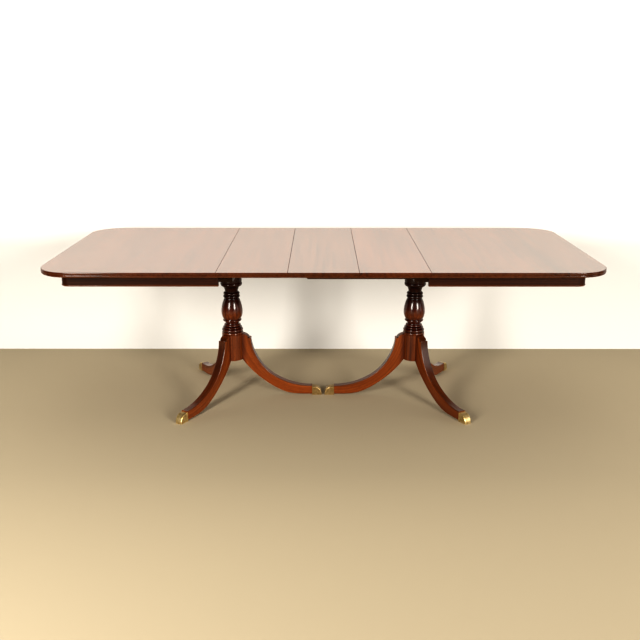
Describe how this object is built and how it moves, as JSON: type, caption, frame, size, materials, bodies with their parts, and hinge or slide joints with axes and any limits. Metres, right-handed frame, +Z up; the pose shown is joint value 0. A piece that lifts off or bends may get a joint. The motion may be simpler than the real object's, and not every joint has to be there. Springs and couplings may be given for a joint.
{
  "type": "double pedestal dining table",
  "caption": "Extension dining table with rounded corners on turned pedestals with brass-toed sabre legs; the ends draw out on wooden slides and the loose leaves lift out.",
  "frame": {"origin": "on the floor under the middle of the top", "axes": "+X along the length of the top, +Y across its depth, +Z up"},
  "size_m": [2.4766, 1.092, 0.762],
  "materials": {
    "mahogany_top": "red-brown mahogany veneer under semi-gloss lacquer",
    "mahogany_apron": "dark red-brown mahogany, semi-gloss lacquer",
    "mahogany": "red-brown mahogany, semi-gloss lacquer",
    "slide_hardwood": "brown-stained hardwood, waxed",
    "brass": "satin polished brass",
    "steel": "zinc-plated steel"
  },
  "bodies": {
    "base": {"left_bearer": "slide_hardwood", "left_bearer_bolts": "steel", "left_column": "mahogany", "left_capital_screws": "steel", "left_spider_plate": "steel", "left_spider_screws": "steel", "left_inner_leg": "mahogany", "left_front_leg": "mahogany", "left_back_leg": "mahogany", "left_inner_toe_cap": "brass", "left_front_toe_cap": "brass", "left_back_toe_cap": "brass", "right_bearer": "slide_hardwood", "right_bearer_bolts": "steel", "right_column": "mahogany", "right_capital_screws": "steel", "right_spider_plate": "steel", "right_spider_screws": "steel", "right_inner_leg": "mahogany", "right_front_leg": "mahogany", "right_back_leg": "mahogany", "right_inner_toe_cap": "brass", "right_front_toe_cap": "brass", "right_back_toe_cap": "brass", "front_centre_rail": "slide_hardwood", "back_centre_rail": "slide_hardwood", "slide_stop_pins": "steel"},
    "left_end": {"left_end_top": "mahogany_top", "left_end_apron": "mahogany_apron", "left_front_apron": "mahogany_apron", "left_back_apron": "mahogany_apron", "left_front_corner_block": "mahogany_apron", "left_back_corner_block": "mahogany_apron", "left_glue_blocks": "slide_hardwood", "left_front_rail": "slide_hardwood", "left_back_rail": "slide_hardwood", "left_rail_screws": "steel", "left_end_dowels": "slide_hardwood"},
    "right_end": {"right_end_top": "mahogany_top", "right_end_apron": "mahogany_apron", "right_front_apron": "mahogany_apron", "right_back_apron": "mahogany_apron", "right_front_corner_block": "mahogany_apron", "right_back_corner_block": "mahogany_apron", "right_glue_blocks": "slide_hardwood", "right_front_rail": "slide_hardwood", "right_back_rail": "slide_hardwood", "right_rail_screws": "steel", "right_end_dowels": "slide_hardwood"},
    "leaf_middle": {"leaf_middle": "mahogany_top", "leaf_middle_dowels": "slide_hardwood"},
    "leaf_left": {"leaf_left": "mahogany_top"},
    "leaf_right": {"leaf_right": "mahogany_top"}
  },
  "joints": [
    {"name": "left_end_draw", "type": "slide", "parent": "base", "child": "left_end", "axis": [-1, 0, 0], "range_m": [0, 0.06]},
    {"name": "right_end_draw", "type": "slide", "parent": "base", "child": "right_end", "axis": [1, 0, 0], "range_m": [0, 0.06]},
    {"name": "leaf_middle_lift", "type": "slide", "parent": "base", "child": "leaf_middle", "axis": [0, 0, 1], "range_m": [0, 0.3]},
    {"name": "leaf_left_lift", "type": "slide", "parent": "leaf_middle", "child": "leaf_left", "axis": [0, 0, 1], "range_m": [0, 0.3]},
    {"name": "leaf_right_lift", "type": "slide", "parent": "leaf_middle", "child": "leaf_right", "axis": [0, 0, 1], "range_m": [0, 0.3]}
  ]
}
